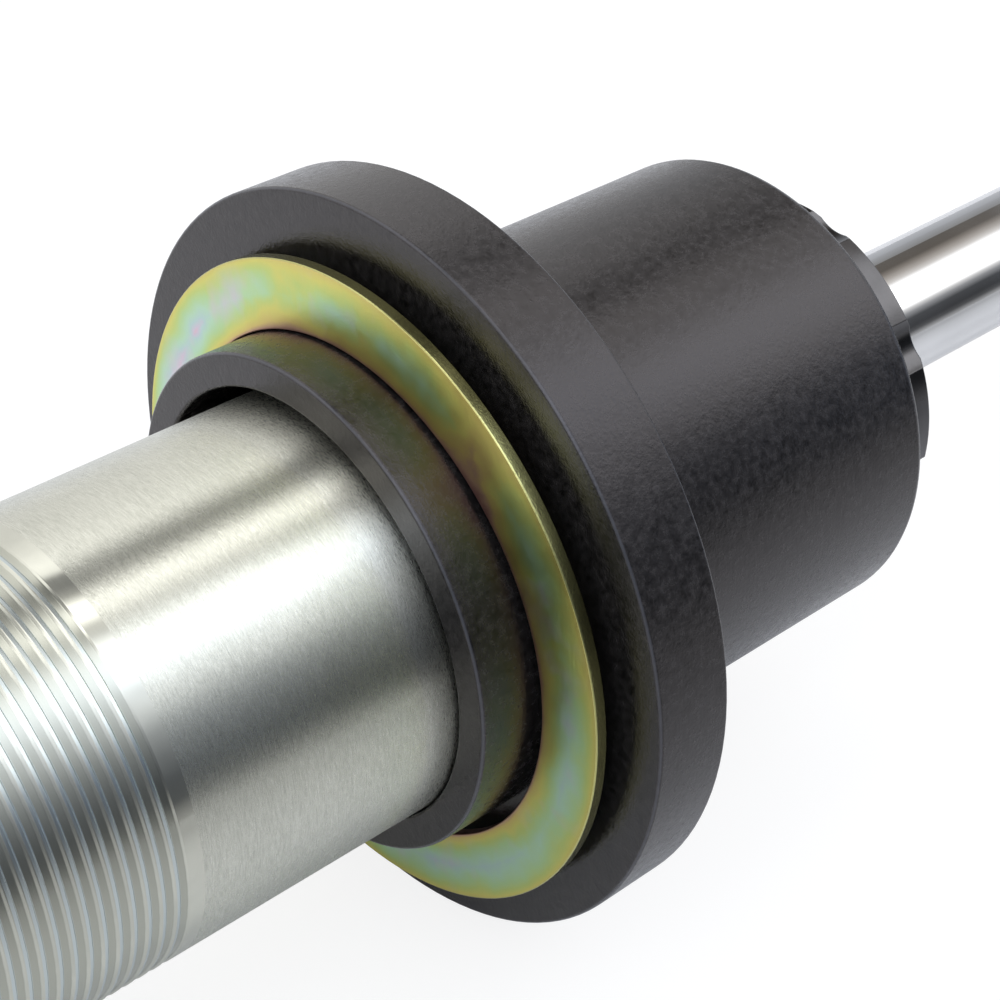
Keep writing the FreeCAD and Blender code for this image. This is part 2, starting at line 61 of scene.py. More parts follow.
# Studio walls: degrees round X, level of light, and how cool its colour is.
# The first set lies across the shock, the second towards its rod, the third past its rod's end.
SIDE_LIGHT = (
    (-180, 0.8, 0.5),
    (-125, 1.6, 0.4),
    (-112, 1.42, 0.3),
    (-100, 1.12, 0.1),
    (-80, 1.05, 0.0),
    (-62, 1.16, 0.0),
    (-46, 1.38, 0.0),
    (-34, 1.75, 0.0),
    (-29, 1.6, 0.0),
    (-25, 0.4, 0.1),
    (-18, 0.36, 0.1),
    (-12, 0.62, 0.0),
    (-5, 2.7, 0.0),
    (0, 2.6, 0.0),
    (6, 1.0, 0.0),
    (11, 1.05, 0.1),
    (18, 2.3, 0.3),
    (26, 2.8, 0.6),
    (34, 2.5, 0.7),
    (42, 1.55, 0.6),
    (52, 1.1, 0.5),
    (63, 0.53, 0.6),
    (74, 0.28, 0.7),
    (86, 0.14, 0.8),
    (97, 0.14, 0.6),
    (104, 0.38, 0.2),
    (112, 0.65, 0.1),
    (180, 0.8, 0.5),
)
ROD_LIGHT = (
    (-180, 0.8, 0.3),
    (-122, 0.7, 0.0),
    (-100, 0.64, 0.1),
    (-88, 0.69, 0.3),
    (-70, 0.58, 0.3),
    (-60, 0.4, 0.1),
    (-50, 0.24, -0.3),
    (-40, 0.16, -0.8),
    (-28, 0.15, -1.0),
    (-18, 0.33, -0.9),
    (-8, 0.6, -0.6),
    (1, 1.0, -0.3),
    (8, 1.9, 0.0),
    (14, 2.6, 0.0),
    (44, 3.0, 0.0),
    (50, 2.2, 0.0),
    (56, 1.0, 0.0),
    (63, 0.42, 0.2),
    (73, 0.1, 0.4),
    (88, 0.07, 0.4),
    (96, 0.13, 0.2),
    (104, 0.5, 0.1),
    (114, 0.8, 0.1),
    (180, 0.8, 0.3),
)
FAR_LIGHT = (
    (-180, 0.6, 0.5),
    (-60, 0.9, 0.5),
    (0, 1.3, 0.3),
    (45, 1.3, 0.5),
    (70, 0.8, 1.6),
    (100, 0.65, 1.6),
    (130, 0.5, 0.6),
    (180, 0.6, 0.5),
)
LIGHT_PEAK = 3.0
LIGHT_SHARE = 0.84  # what the walls really give of these levels
COOL_TINT = (0.1, 0.2)  # red taken away and blue added at a coolness of 1
WARM_TINT = (0.12, 0.12)  # red added and blue taken away at a coolness of -1
SIDE_TO_ROD = (0.585, 0.69)  # lean of a direction towards +X over which one set gives way to the next
ROD_TO_FAR = (0.74, 0.8)

# Floor, which ends on the camera's side where the metal shows the dark wall below the horizon
FLOOR_LENGTH = 6.0
FLOOR_NEAR = 0.24
FLOOR_FAR = 3.0
FLOOR_DROP = 0.1 * MM
# Painted shade: the floor's colour is darker towards -Y, on the camera's side, and the metal mirrors that
FLOOR_PAINTED_SHADE = (0.42, 0.42, 0.42, 1)
FLOOR_LIT = (0.715, 0.715, 0.72, 1)
FLOOR_PAINTED_SHADE_TO_LIT = (-0.17, -0.06)  # along Y
FLOOR_MIRRORED_GLOW = 0.03  # level in the metal that the deepest shadow keeps
FLOOR_SEEN_GLOW = 0.84  # the same for the camera, which sees only a faint shadow
FLOOR_SEEN_COLOUR = 0.2

# Turned pieces. Their columns start on the side turned away from the camera.
COLUMNS = 128
TUBE_COLUMNS = 70  # fewer, because the thread has many rows
SEAM = math.radians(230)
EDGE_STEPS = 5
SHARP_ANGLE = 40  # degrees between two faces from which their edge stays sharp
TUBE_SHARP_ANGLE = 75  # leaves the corners of the thread smooth

# Thread on the body tube. Each turn is a ridge, a gentle and then a steep fall, a flat floor and a rise.
THREAD_PITCH = 25.4 / 12 * MM
THREAD_DEPTH = 0.3 * MM
THREAD_LEAD_IN = 20 * MM  # plain tube between the end cap and the thread
THREAD_TO_NOSE = 43.1 * MM  # from the end of the thread to the slider's nose
GROOVE = (  # part of a turn, part of the depth
    (0.0, 0.0),
    (0.03, 0.0),
    (0.27, 0.36),
    (0.34, 1.0),
    (0.8, 1.0),
    (1.0, 0.0),
)
THREAD_ROWS = (0.0, 0.03, 0.06, 0.24, 0.27, 0.3, 0.34, 0.38, 0.76, 0.8, 0.84, 0.96)  # parts of a turn
RUN_OUT = 0.2  # part of a turn in which the groove fades in or out
POLISHED_BAND = 2.4 * MM
TUBE_WALL = 3.175 * MM
TUBE_EDGE = 0.8 * MM

# Spring slider
SLEEVE_R = 38.05 * MM
SLIDER_BORE_R = 32.97 * MM
FLANGE_AT = 13.55 * MM  # from the slider's nose
FLANGE_WIDTH = 12.6 * MM
FLANGE_ROOT = 1.0 * MM
SLIDER_EDGE = 0.55 * MM
SLEEVE_END_ROUND = 1.5 * MM

# Spring washers
WASHER_EDGE = 0.22 * MM
WASHER_WALL = 10.45 * MM

# Colours of the finishes, single or as (value, red, green, blue) stops
BRUSHED_ZINC = ((0.3, 0.55, 0.555, 0.485), (0.5, 0.66, 0.66, 0.58), (0.7, 0.76, 0.76, 0.675))
THREAD_ZINC = ((0.35, 0.61, 0.61, 0.535), (0.65, 0.71, 0.708, 0.62))
# Painted shade: the groove's floor is painted darker than the crests
GROOVE_FLOOR_PAINTED_SHADE = (0.47, 0.475, 0.41, 1)
# Painted reflection: the side of the groove facing +X is painted cooler, as if it mirrored cool light
GROOVE_FALL_PAINTED_REFLECTION = (0.6, 0.66, 0.66, 1)
PLAIN_ZINC = ((0.35, 0.62, 0.625, 0.585), (0.65, 0.74, 0.74, 0.69))
SLEEVE_BLACK = ((0.36, 0.005, 0.0046, 0.0046), (0.64, 0.026, 0.0238, 0.0235))
# Painted highlight: the slider's rims are painted lighter and bluer, together with their wear
SLEEVE_RIM_PAINTED_HIGHLIGHT = (0.075, 0.079, 0.092, 1)
SLEEVE_SHINE = (1.0, 0.925, 0.925, 1)
CHROMATE_FILM = (  # from a thin film to a thick one
    (0.0, 0.38, 0.19, 0.16),
    (0.05, 0.60, 0.38, 0.24),
    (0.12, 0.76, 0.60, 0.20),
    (0.24, 0.76, 0.71, 0.20),
    (0.36, 0.62, 0.72, 0.24),
    (0.48, 0.55, 0.76, 0.38),
    (0.62, 0.55, 0.78, 0.56),
    (0.76, 0.55, 0.72, 0.68),
    (0.86, 0.70, 0.64, 0.72),
    (0.96, 0.85, 0.56, 0.64),
)
CHROMATE_LILAC = (0.74, 0.64, 0.70, 1)
CHROMATE_EDGE = (0.52, 0.51, 0.22, 1)
ROD_CHROME = ((0.35, 0.72, 0.72, 0.725), (0.65, 0.78, 0.78, 0.785))

# Grains of the finishes, in cells to a metre along X, Y and Z. Those with most cells along X run round X.
BRUSH_MARKS = (5600, 520, 520)
BRUSH_GLINTS = (9000, 1300, 1300)
TOOL_MARKS = (9000, 60, 60)
SLEEVE_MARKS = (2400, 90, 90)
WASHER_BRUSH = (200, 2600, 300)
GRINDING_LINES = (7000, 90, 90)
NOISE_RANGE = (0.3, 0.7)  # most of a noise lies between these
GRAIN_DEPTH = 0.05 * MM
TOOL_MARK_DEPTH = 0.04 * MM
SPECK_DEPTH = 0.06 * MM
SOLID_EDGE = 0.3 * MM  # rounding that the solids' edges are shaded with
BEVEL_SAMPLES = 6
RIM_WEAR_AND_PAINTED_HIGHLIGHT = (0.4 * MM, 0.18 * MM)  # distance from a rim where its wear and painted highlight start, and where they are full
CUT_EDGE = (0.25 * MM, 0.05 * MM)  # the same for the colour of a washer's outer edge, from that edge
THIN_FILM_SIDE = (-0.5, 0.87)  # direction in Y and Z towards which a washer's film is thinner

# Finishes of the other solids, by slot: name, dark tone, light tone, range of roughness, metallic
MOTTLED_FINISHES = {
    "black_sleeve": ("black_plastic", (0.01, 0.01, 0.01), (0.025, 0.024, 0.023), (0.26, 0.4), 0.0),
    "yellow_zinc": ("chromate", (0.5, 0.4, 0.12), (0.6, 0.6, 0.3), (0.25, 0.35), 1.0),
    "black_anodised": ("black_anodised", (0.09, 0.089, 0.093), (0.118, 0.116, 0.121), (0.09, 0.14), 1.0),
    "clear_anodised": ("clear_anodised", (0.50, 0.51, 0.52), (0.60, 0.61, 0.62), (0.3, 0.4), 1.0),
    "bearing_steel": ("bearing_steel", (0.48, 0.48, 0.49), (0.57, 0.57, 0.58), (0.16, 0.26), 1.0),
    "black_oxide": ("black_oxide", (0.02, 0.02, 0.022), (0.05, 0.05, 0.055), (0.3, 0.42), 0.4),
    "bronze": ("bronze", (0.42, 0.25, 0.10), (0.56, 0.37, 0.17), (0.35, 0.5), 1.0),
    "band": ("band", (0.14, 0.10, 0.06), (0.24, 0.18, 0.11), (0.5, 0.65), 0.0),
    "seal_rubber": ("seal_rubber", (0.014, 0.014, 0.014), (0.026, 0.026, 0.026), (0.5, 0.65), 0.0),
    "urethane": ("urethane", (0.03, 0.027, 0.024), (0.055, 0.05, 0.045), (0.42, 0.55), 0.0),
    "shim_steel": ("shim_steel", (0.36, 0.37, 0.40), (0.48, 0.49, 0.51), (0.24, 0.36), 1.0),
}


def rounded(corners):
    """Points of a closed (x, radius) outline whose corners may carry a rounding as a third value."""
    flat = [Vector(corner[:2]) for corner in corners]
    points = []
    for i, corner in enumerate(corners):
        here = flat[i]
        if len(corner) < 3:
            points.append(here)
            continue
        rounding = corner[2]
        back = (flat[i - 1] - here).normalized()
        ahead = (flat[(i + 1) % len(flat)] - here).normalized()
        half_angle = back.angle(ahead) / 2
        reach = rounding / math.tan(half_angle)
        centre = here + (back + ahead).normalized() * rounding / math.sin(half_angle)
        for step in range(EDGE_STEPS + 1):
            chord = (here + back * reach).lerp(here + ahead * reach, step / EDGE_STEPS)
            points.append(centre + (chord - centre).normalized() * rounding)
    return points


def on_ring(x, radius, turn, centre=(0, 0)):
    """Point of a ring about X, at a part of a turn from the seam."""
    angle = SEAM + 2 * math.pi * turn
    return Vector((x, centre[0] - radius * math.sin(angle), centre[1] + radius * math.cos(angle)))


def add_ring(bm, x, radius, columns, centre=(0, 0)):
    return [bm.verts.new(on_ring(x, radius, column / columns, centre)) for column in range(columns)]


def bridge(bm, first, second):
    """Band of faces between two rings."""
    for column in range(len(first)):
        bm.faces.new((first[column - 1], second[column - 1], second[column], first[column]))


def finished(name, bm, sharp_angle=SHARP_ANGLE):
    """Turns a bmesh into a smooth-shaded piece whose hard corners stay sharp."""
    bmesh.ops.recalc_face_normals(bm, faces=bm.faces)
    limit = math.radians(sharp_angle)
    for face in bm.faces:
        face.smooth = True
    for edge in bm.edges:
        edge.smooth = edge.calc_face_angle(0) < limit
    mesh = bpy.data.meshes.new(name)
    bm.to_mesh(mesh)
    bm.free()
    piece = bpy.data.objects.new(name, mesh)
    bpy.context.scene.collection.objects.link(piece)
    weighted = piece.modifiers.new("weighted", "WEIGHTED_NORMAL")
    weighted.keep_sharp = True
    return piece


def turned(name, corners, centre):
    """Piece turned about X from a closed outline that stays off the axis."""
    bm = bmesh.new()
    rings = [add_ring(bm, x, radius, COLUMNS, centre) for x, radius in rounded(corners)]
    for i, here in enumerate(rings):
        bridge(bm, rings[i - 1], here)
    return finished(name, bm)


def node_centre(node):
    """Where a turned node's own axis lies in Y and Z."""
    low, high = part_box(node)
    middle = (low + high) / 2
    return middle.y, middle.z


def dress(piece, body, slot, nodes, *materials):
    """Makes a piece ride on its body in place of its solids, with its materials."""
    for material in materials:
        piece.data.materials.append(material)
    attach(piece, body)
    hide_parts(*nodes)


class Graph:
    """Short names for adding and joining the nodes of a shader."""

    def __init__(self, tree):
        self.tree = tree

    def feed(self, socket, value):
        if isinstance(value, bpy.types.NodeSocket):
            self.tree.links.new(value, socket)
        else:
            socket.default_value = value

    def add(self, kind, inputs, **settings):
        made = self.tree.nodes.new(kind)
        for key, value in settings.items():
            setattr(made, key, value)
        for key, value in inputs.items():
            self.feed(made.inputs[key], value)
        return made

    def place(self):
        """Place on the piece, in its own frame."""
        return self.add("ShaderNodeTexCoord", {}).outputs["Object"]

    def facing(self):
        """How far the surface faces +X, from -1 to 1."""
        return self.split(self.add("ShaderNodeNewGeometry", {}).outputs["Normal"])[0]

    def math(self, operation, first, second=0.0):
        return self.add("ShaderNodeMath", {0: first, 1: second}, operation=operation).outputs[0]

    def split(self, vector):
        return self.add("ShaderNodeSeparateXYZ", {"Vector": vector}).outputs

    def noise(self, vector, scale, detail=3.0, roughness=0.5):
        """Noise with a number of cells to a metre."""
        inputs = {"Vector": vector, "Scale": scale, "Detail": detail, "Roughness": roughness}
        return self.add("ShaderNodeTexNoise", inputs).outputs["Fac"]

    def grain(self, place, cells, detail=3.0, roughness=0.5):
        """Noise with its own number of cells along each axis."""
        stretched = self.add("ShaderNodeMapping", {"Vector": place, "Scale": cells}).outputs[0]
        return self.noise(stretched, 1.0, detail, roughness)

    def span(self, value, low, high, start=0.0, end=1.0):
        """Value between low and high as a value between start and end."""
        inputs = {"Value": value, "From Min": low, "From Max": high, "To Min": start, "To Max": end}
        return self.add("ShaderNodeMapRange", inputs).outputs["Result"]

    def spread(self, noise, start, end):
        """Noise as a value between start and end."""
        return self.span(noise, *NOISE_RANGE, start, end)

    def ramp(self, value, stops):
        """Colours by value, from (value, red, green, blue) stops."""
        made = self.add("ShaderNodeValToRGB", {"Fac": value})
        elements = made.color_ramp.elements
        while len(elements) < len(stops):
            elements.new(1.0)
        for element, stop in zip(elements, stops):
            element.position = stop[0]
            element.color = (*stop[1:], 1.0)
        return made.outputs["Color"]

    def mix(self, share, first, second):
        made = self.add("ShaderNodeMix", {}, data_type="RGBA")
        self.feed(made.inputs["Factor"], share)
        for socket, value in ((made.inputs[6], first), (made.inputs[7], second)):
            self.feed(socket, value)
        return made.outputs[2]

    def bump(self, height, strength, distance, edge=0.0):
        """Normal with a grain on it, and with sharp edges rounded to a radius if one is given."""
        inputs = {"Height": height, "Strength": strength, "Distance": distance}
        if edge:
            bevel = self.add("ShaderNodeBevel", {"Radius": edge}, samples=BEVEL_SAMPLES)
            inputs["Normal"] = bevel.outputs["Normal"]
        return self.add("ShaderNodeBump", inputs).outputs["Normal"]

    def distance(self, first, second):
        """Distance from two offsets at right angles."""
        squares = [self.math("MULTIPLY", offset, offset) for offset in (first, second)]
        return self.math("SQRT", self.math("ADD", *squares))

    def radius(self, place, centre=(0, 0)):
        """Distance from the axis of a turned piece."""
        _, y, z = self.split(place)
        return self.distance(self.math("SUBTRACT", y, centre[0]), self.math("SUBTRACT", z, centre[1]))

    def near_rims(self, place, rims, centre):
        """Distance to the nearest of the (x, radius) rims of a turned piece."""
        along = self.split(place)[0]
        out = self.radius(place, centre)
        nearest = 1.0
        for x, radius in rims:
            off = self.distance(self.math("SUBTRACT", along, x), self.math("SUBTRACT", out, radius))
            nearest = self.math("MINIMUM", off, nearest)
        return nearest


def new_finish(name):
    """Empty material with its graph and its main shader."""
    material = bpy.data.materials.new(name)
    material.use_nodes = True
    shader = material.node_tree.nodes["Principled BSDF"]
    return material, Graph(material.node_tree), shader


def set_shader(graph, shader, **inputs):
    """Feeds the shader's sockets, with _ in a name for each space."""
    for key, value in inputs.items():
        graph.feed(shader.inputs[key.replace("_", " ")], value)


def zinc_brushed():
    """Zinc plate over steel that was ground while it turned: short bright and dark marks round X."""
    material, graph, shader = new_finish("zinc_brushed")
    place = graph.place()
    marks = graph.grain(place, BRUSH_MARKS, 3.0, 0.6)
    glints = graph.grain(place, BRUSH_GLINTS, 2.0, 0.6)
    clouds = graph.noise(place, 90, 4.0)
    tone = graph.math("ADD", graph.math("MULTIPLY", marks, 0.8), graph.math("MULTIPLY", clouds, 0.2))
    height = graph.math("ADD", marks, graph.math("MULTIPLY", glints, 0.8))
    tangent = graph.add("ShaderNodeTangent", {}, direction_type="RADIAL", axis="X")
    set_shader(
        graph,
        shader,
        Base_Color=graph.ramp(tone, BRUSHED_ZINC),
        Metallic=1.0,
        Roughness=graph.spread(glints, 0.24, 0.34),
        Anisotropic=0.9,
        Anisotropic_Rotation=0.25,
        Tangent=tangent.outputs["Tangent"],
        Normal=graph.bump(height, 0.5, GRAIN_DEPTH),
    )
    return material


def zinc_thread(thread_end, crest_r):
    """Zinc plate on the cut thread and on the polished band after it, with tool marks round X.

    The groove's floor is painted darker as painted shade, and the side facing +X is painted cooler as a
    painted reflection.
    """
    material, graph, shader = new_finish("zinc_thread")
    place = graph.place()
    marks = graph.grain(place, TOOL_MARKS, 3.0, 0.6)
    clouds = graph.noise(place, 110, 4.0)
    band = graph.span(graph.split(place)[0], thread_end - THREAD_PITCH, thread_end)
    # Painted shade: a darker colour on the groove's floor
    painted_shade_in_groove = graph.span(graph.radius(place), crest_r - 0.7 * THREAD_DEPTH, crest_r - 0.95 * THREAD_DEPTH)
    colour = graph.mix(painted_shade_in_groove, graph.ramp(clouds, THREAD_ZINC), GROOVE_FLOOR_PAINTED_SHADE)
    # Painted reflection: a cooler colour on the side that faces +X
    colour = graph.mix(graph.span(graph.facing(), 0.08, 0.18), colour, GROOVE_FALL_PAINTED_REFLECTION)
    set_shader(
        graph,
        shader,
        Base_Color=colour,
        Metallic=1.0,
        Roughness=graph.math("ADD", graph.span(band, 0, 1, 0.2, 0.07), graph.spread(marks, 0.0, 0.05)),
        Normal=graph.bump(marks, graph.span(band, 0, 1, 0.12, 0.02), TOOL_MARK_DEPTH),
    )
    return material


def zinc_plain():
    """Bright zinc plate on small turned pieces."""
    material, graph, shader = new_finish("zinc_plain")
    place = graph.place()
    clouds = graph.noise(place, 320, 4.0)
    specks = graph.noise(place, 3600, 2.0)
    set_shader(
        graph,
        shader,
        Base_Color=graph.ramp(clouds, PLAIN_ZINC),
        Metallic=1.0,
        Roughness=graph.spread(clouds, 0.24, 0.36),
        Normal=graph.bump(specks, 0.1, GRAIN_DEPTH),
    )
    return material


def black_sleeve(rims, centre):
    """Satin black turned plastic, mottled by handling and worn along its (x, radius) rims.

    The rims are painted lighter as a painted highlight, and they and the faces turned to -X are glossier.
    """
    material, graph, shader = new_finish("black_sleeve")
    place = graph.place()
    mottle = graph.noise(place, 760, 8.0, 0.7)
    pebbles = graph.noise(place, 1900, 4.0, 0.6)
    marks = graph.grain(place, SLEEVE_MARKS)
    # Wear along the rims makes them glossier, and a painted highlight makes them lighter
    wear_and_painted_highlight = graph.span(graph.near_rims(place, rims, centre), *RIM_WEAR_AND_PAINTED_HIGHLIGHT)
    dullness = graph.math(
        "MULTIPLY",
        graph.span(graph.facing(), -0.9, -0.98, 1.0, 0.5),
        graph.span(wear_and_painted_highlight, 0, 1, 1.0, 0.5),
    )
    height = graph.math("ADD", graph.math("ADD", pebbles, mottle), graph.math("MULTIPLY", marks, 0.4))
    set_shader(
        graph,
        shader,
        # The rims carry a painted highlight in a lighter colour
        Base_Color=graph.mix(wear_and_painted_highlight, graph.ramp(mottle, SLEEVE_BLACK), SLEEVE_RIM_PAINTED_HIGHLIGHT),
        Roughness=graph.math("MULTIPLY", graph.span(mottle, 0.36, 0.64, 0.15, 0.31), dullness),
        Specular_IOR_Level=0.62,
        Specular_Tint=SLEEVE_SHINE,
        Normal=graph.bump(height, 0.85, GRAIN_DEPTH),
    )
    return material


def chromate_film(graph, place, cloud, inside, middle):
    """Thickness of a washer's film: patchy, thinner at the rims and on the upper part of the -Y side."""
    _, y, z = graph.split(place)
    towards_y = graph.math("MULTIPLY", y, THIN_FILM_SIDE[0])
    towards_z = graph.math("MULTIPLY", z, THIN_FILM_SIDE[1])
    towards = graph.math("ADD", towards_y, towards_z)
    patches = graph.span(graph.noise(place, 46, 3.0, 0.55), 0.32, 0.68, 0.42, 0.94)
    film = graph.math("ADD", patches, graph.spread(cloud, -0.06, 0.06))
    film = graph.math("SUBTRACT", film, graph.span(towards, 0.25 * middle, 0.9 * middle, 0.0, 0.38))
    return graph.math("MULTIPLY", film, graph.math("POWER", inside, 0.7))


def yellow_zinc(inner_r, outer_r, centre):
    """Yellow chromate on a stamped washer: brown and gold at the rims, then green, blue and pink.

    Its cut outer edge is olive and glossier.
    """
    material, graph, shader = new_finish("yellow_zinc")
    place = graph.place()
    middle = (inner_r + outer_r) / 2
    out = graph.radius(place, centre)
    from_middle = graph.math("ABSOLUTE", graph.math("SUBTRACT", out, middle))
    inside = graph.span(from_middle, (outer_r - inner_r) / 2, 0.0)
    cloud = graph.noise(place, 260, 4.0, 0.6)
    film = chromate_film(graph, place, cloud, inside, middle)
    film = graph.math("ADD", film, graph.span(out, inner_r, outer_r, -0.02, 0.12))
    lilac = graph.span(graph.noise(place, 85, 3.0, 0.55), 0.54, 0.68, 0.0, 0.75)
    colour = graph.ramp(film, CHROMATE_FILM)
    colour = graph.mix(graph.math("MULTIPLY", lilac, inside), colour, CHROMATE_LILAC)
    cut_edge = graph.span(out, outer_r - CUT_EDGE[0], outer_r - CUT_EDGE[1])
    rough = graph.math("MULTIPLY", graph.spread(cloud, 0.3, 0.4), graph.span(cut_edge, 0, 1, 1.0, 0.5))
    height = graph.math("ADD", graph.noise(place, 3400, 3.0), graph.grain(place, WASHER_BRUSH))
    set_shader(
        graph,
        shader,
        Base_Color=graph.mix(cut_edge, colour, CHROMATE_EDGE),
        Metallic=1.0,
        Roughness=rough,
        Normal=graph.bump(height, 0.4, GRAIN_DEPTH),
    )
    return material


def chrome():
    """Hard chrome on a ground rod, with faint grinding lines round X."""
    material, graph, shader = new_finish("chrome")
    place = graph.place()
    lines = graph.grain(place, GRINDING_LINES, 2.0)
    haze = graph.noise(place, 60, 3.0)
    set_shader(
        graph,
        shader,
        Base_Color=graph.ramp(haze, ROD_CHROME),
        Metallic=1.0,
        Roughness=graph.spread(haze, 0.04, 0.09),
        Normal=graph.bump(lines, 0.02, GRAIN_DEPTH),
    )
    return material


def mottled(name, dark, light, rough, metallic):
    """Finish with clouds between two tones, a range of roughness and a fine grain."""
    material, graph, shader = new_finish(name)
    place = graph.place()
    clouds = graph.noise(place, 160, 5.0, 0.6)
    specks = graph.noise(place, 2800, 3.0, 0.6)
    set_shader(
        graph,
        shader,
        Base_Color=graph.ramp(clouds, ((0.32, *dark), (0.68, *light))),
        Metallic=metallic,
        Roughness=graph.spread(clouds, *rough),
        Normal=graph.bump(specks, 0.12, SPECK_DEPTH, SOLID_EDGE),
    )
    return material


def grey(level):
    return (level, level, level, 1)


def wall_light(graph, place, bands):
    """Colour of a studio wall round X."""
    stops = []
    for angle, level, cool in bands:
        share = level / LIGHT_PEAK
        red_change, blue_change = COOL_TINT if cool > 0 else WARM_TINT
        red = 1 - cool * red_change
        blue = 1 + cool * blue_change
        stops.append((0.5 + angle / 360, share * red, share, share * blue))
    return graph.ramp(place, stops)


def studio_world():
    """Light that changes round X and along it: a long softbox, dark flags and pale walls."""
    world = bpy.data.worlds.new("studio")
    bpy.context.scene.world = world
    world.use_nodes = True
    graph = Graph(world.node_tree)
    background = world.node_tree.nodes["Background"]
    x, y, z = graph.split(graph.add("ShaderNodeTexCoord", {}).outputs["Generated"])
    turn = graph.math("ARCTAN2", graph.math("MULTIPLY", y, -1.0), z)
    place = graph.span(turn, -math.pi, math.pi)
    light = wall_light(graph, place, SIDE_LIGHT)
    light = graph.mix(graph.span(x, *SIDE_TO_ROD), light, wall_light(graph, place, ROD_LIGHT))
    light = graph.mix(graph.span(x, *ROD_TO_FAR), light, wall_light(graph, place, FAR_LIGHT))
    seen = graph.add("ShaderNodeLightPath", {}).outputs["Is Camera Ray"]
    strength = LIGHT_PEAK * LIGHT_SHARE
    graph.feed(background.inputs["Color"], graph.mix(seen, light, grey(1 / strength)))
    graph.feed(background.inputs["Strength"], strength)


def floor_material():
    """Pale matte with painted shade towards -Y. The metal mirrors it and its shadows; the camera sees it
    nearly white.
    """
    material = bpy.data.materials.new("floor")
    material.use_nodes = True
    nodes = material.node_tree.nodes
    graph = Graph(material.node_tree)
    nodes.remove(nodes["Principled BSDF"])
    path = graph.add("ShaderNodeLightPath", {}).outputs
    mirrored = graph.math("MAXIMUM", path["Is Glossy Ray"], path["Is Transmission Ray"])
    seen_glow = graph.math("MULTIPLY", path["Is Camera Ray"], FLOOR_SEEN_GLOW)
    glow = graph.math("MAXIMUM", seen_glow, graph.math("MULTIPLY", mirrored, FLOOR_MIRRORED_GLOW))
    # Painted shade: the floor's colour darkens towards -Y
    out_of_painted_shade = graph.span(graph.split(graph.place())[1], *FLOOR_PAINTED_SHADE_TO_LIT)
    colour = graph.mix(out_of_painted_shade, FLOOR_PAINTED_SHADE, FLOOR_LIT)
    colour = graph.mix(path["Is Camera Ray"], colour, grey(FLOOR_SEEN_COLOUR))
    white = graph.add("ShaderNodeEmission", {"Strength": glow})
    matte = graph.add("ShaderNodeBsdfDiffuse", {"Color": colour})
    both = graph.add("ShaderNodeAddShader", {0: white.outputs[0], 1: matte.outputs[0]})
    graph.feed(nodes["Material Output"].inputs["Surface"], both.outputs[0])
    return material


def studio_floor(level):
    half = FLOOR_LENGTH / 2
    corners = ((-half, -FLOOR_NEAR), (half, -FLOOR_NEAR), (half, FLOOR_FAR), (-half, FLOOR_FAR))
    mesh = bpy.data.meshes.new("studio_floor")
    mesh.from_pydata([(x, y, 0) for x, y in corners], [], [(0, 1, 2, 3)])
    mesh.materials.append(floor_material())
    floor = bpy.data.objects.new("studio_floor", mesh)
    floor.location.z = level
    bpy.context.scene.collection.objects.link(floor)


def studio_camera(nose):
    data = bpy.data.cameras.new("camera")
    data.lens = CAMERA_LENS
    data.sensor_width = CAMERA_SENSOR
    data.clip_start = CAMERA_NEAREST
    data.clip_end = 2 * FLOOR_LENGTH
    camera = bpy.data.objects.new("camera", data)
    camera.location = nose + CAMERA_FROM_NOSE
    camera.rotation_euler = (math.radians(90 - CAMERA_DIP), 0, math.radians(-CAMERA_TURN))
    bpy.context.scene.collection.objects.link(camera)
    bpy.context.scene.camera = camera


def smooth(share):
    """Share between 0 and 1 with a soft start and end."""
    held = min(max(share, 0.0), 1.0)
    return held * held * (3 - 2 * held)


def groove_depth(place):
    """Depth of the groove at a place along one turn."""
    for (start, near), (end, far) in zip(GROOVE, GROOVE[1:]):
        if place <= end:
            return THREAD_DEPTH * (near + (far - near) * (place - start) / (end - start))


def thread_grid(bm, start, turn_count, crest_r):
    """Columns of vertices round the thread, whose rows follow the groove.

    The first column is a turn longer, and from its second turn on it is also the last column.
    """
    per_turn = len(THREAD_ROWS)
    last = turn_count * per_turn

    def vertex(row, column):
        place = THREAD_ROWS[row % per_turn]
        round_x = column / TUBE_COLUMNS
        along = row // per_turn + round_x
        fade = smooth(min(along, turn_count - along) / RUN_OUT)
        x = start + (along + place) * THREAD_PITCH
        return bm.verts.new(on_ring(x, crest_r - fade * groove_depth(place), round_x))

    grid = [[vertex(row, 0) for row in range(last + per_turn + 1)]]
    grid += [[vertex(row, column) for row in range(last + 1)] for column in range(1, TUBE_COLUMNS)]
    grid.append(grid[0][per_turn:])
    return grid


